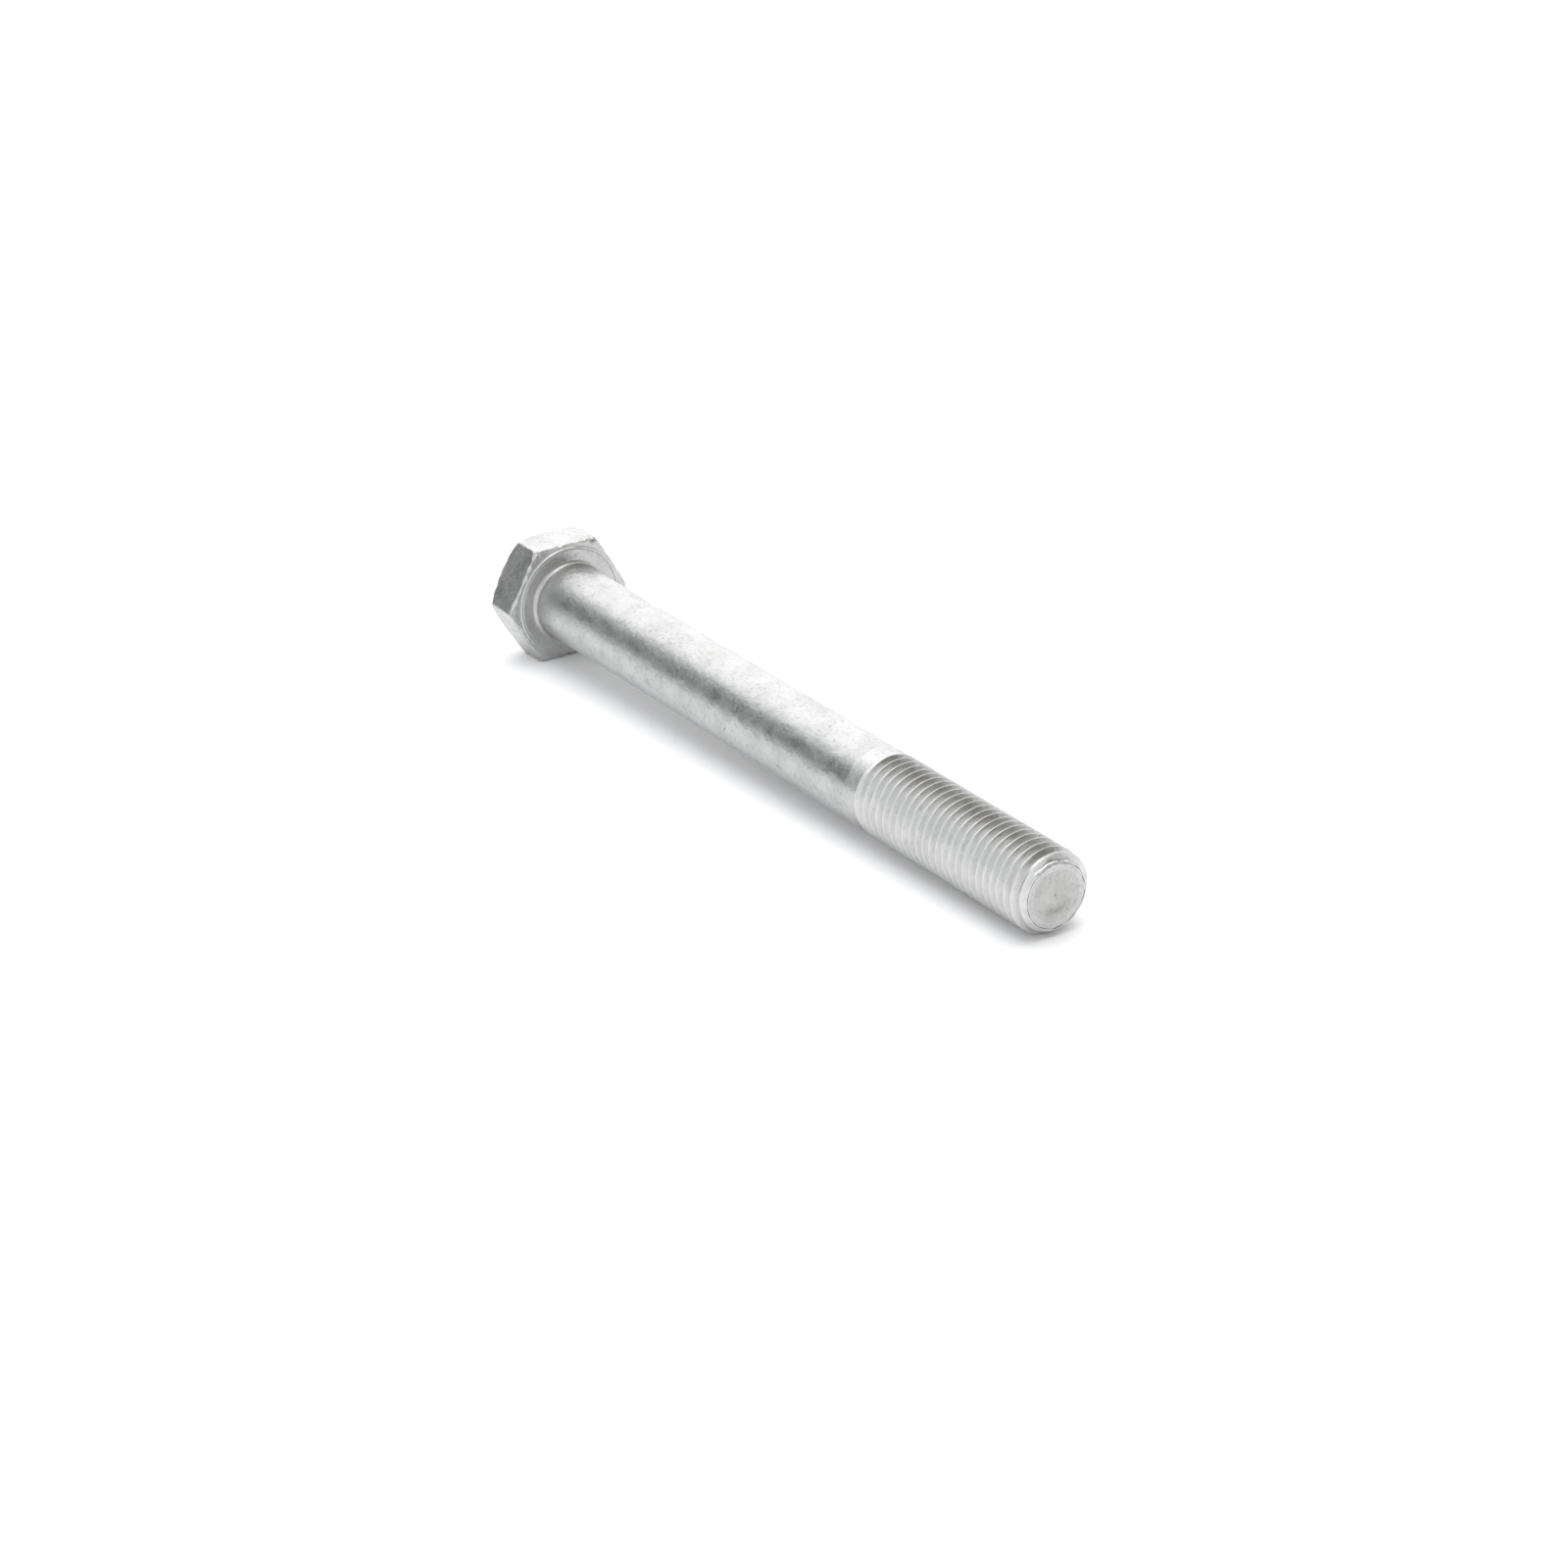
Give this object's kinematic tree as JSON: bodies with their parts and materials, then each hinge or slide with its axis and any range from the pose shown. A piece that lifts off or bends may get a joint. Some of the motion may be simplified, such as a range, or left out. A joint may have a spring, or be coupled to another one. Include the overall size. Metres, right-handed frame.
{
  "type": "hex bolt",
  "caption": "Long hex head bolt with a washer face, plain shank, coarse rolled thread on the end and a chamfered point.",
  "frame": {"origin": "centre of the washer face under the head, on the bolt's axis", "axes": "+X along the bolt's axis towards the threaded end; +Z square to one pair of head flats"},
  "size_m": [0.2547, 0.0412, 0.0356],
  "materials": {
    "zinc_plated_steel": "satin"
  },
  "bodies": {
    "root": {"hex_bolt": "zinc_plated_steel"}
  },
  "joints": []
}
